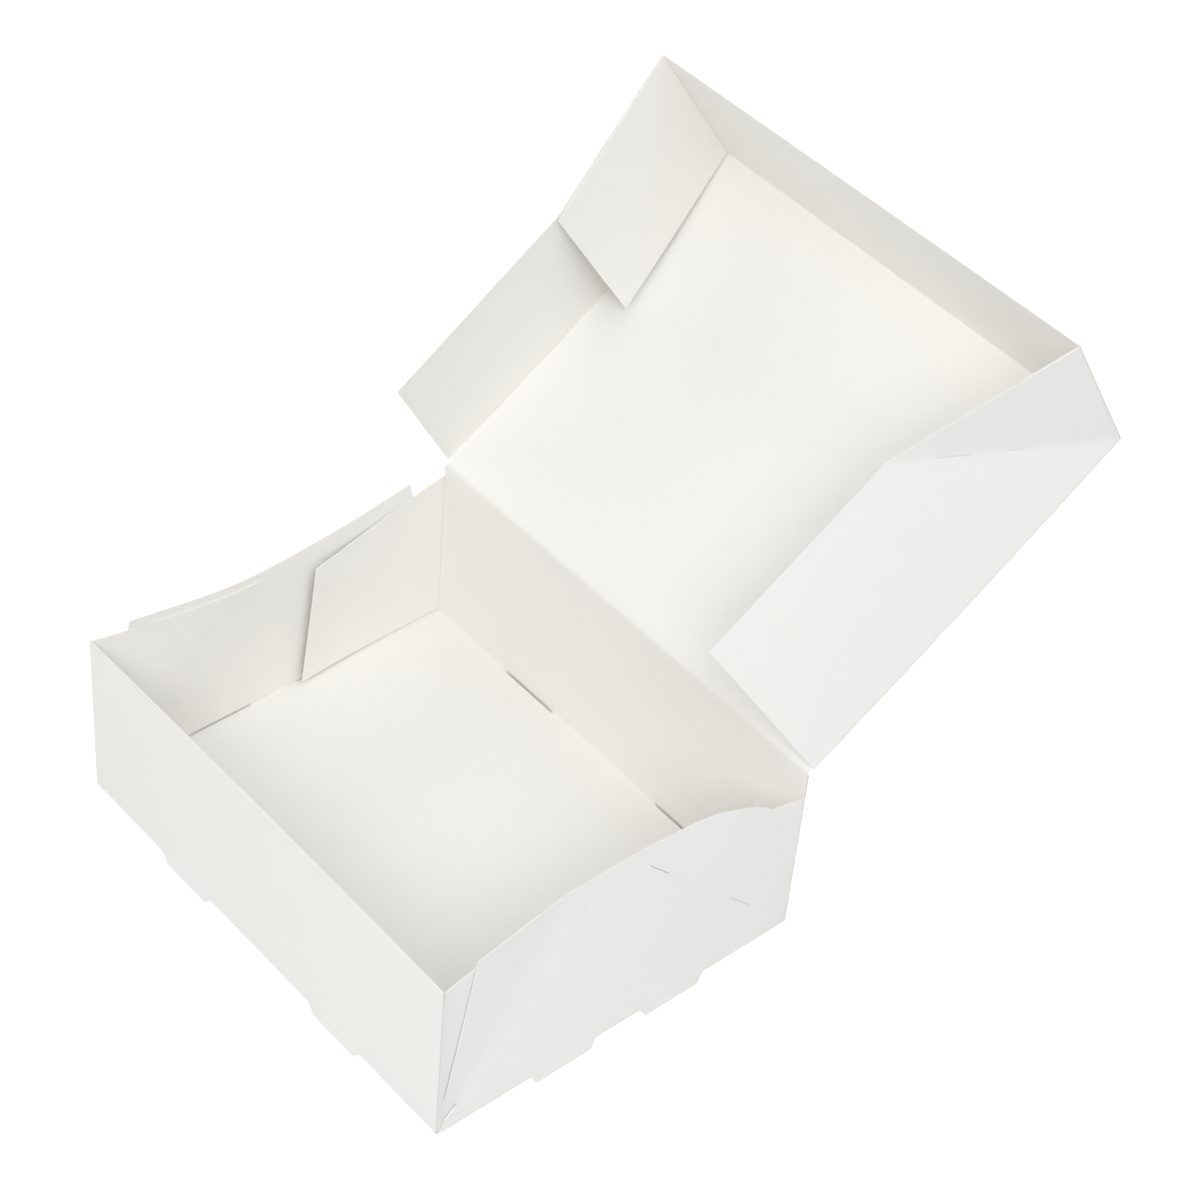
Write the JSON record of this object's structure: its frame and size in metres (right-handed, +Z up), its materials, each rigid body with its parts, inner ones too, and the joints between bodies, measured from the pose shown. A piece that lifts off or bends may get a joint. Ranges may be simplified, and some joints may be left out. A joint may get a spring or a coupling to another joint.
{
  "type": "cake box",
  "caption": "Folded white board cake box, open: a tray with glued corners and punched feet, and a hinged lid with glued front corners thrown back behind it.",
  "frame": {"origin": "middle of the underside of the tray's bottom panel; the feet reach 5.25 mm below it", "axes": "+Z up, -Y towards the front wall, +X to the right as seen from the front; the lid is hinged at the back wall, towards +Y"},
  "size_m": [0.2557, 0.3692, 0.282],
  "materials": {
    "tray_board": "matt white board, slightly warmer inside",
    "lid_board": "matt white board, slightly warmer inside"
  },
  "bodies": {
    "tray": {"tray": "tray_board"},
    "lid": {"lid": "lid_board"}
  },
  "joints": [
    {"name": "lid_hinge", "type": "hinge", "parent": "tray", "child": "lid", "pos_m": [0, 0.1, 0.095], "axis": [1, 0, 0], "range_deg": [-62, 98]}
  ]
}
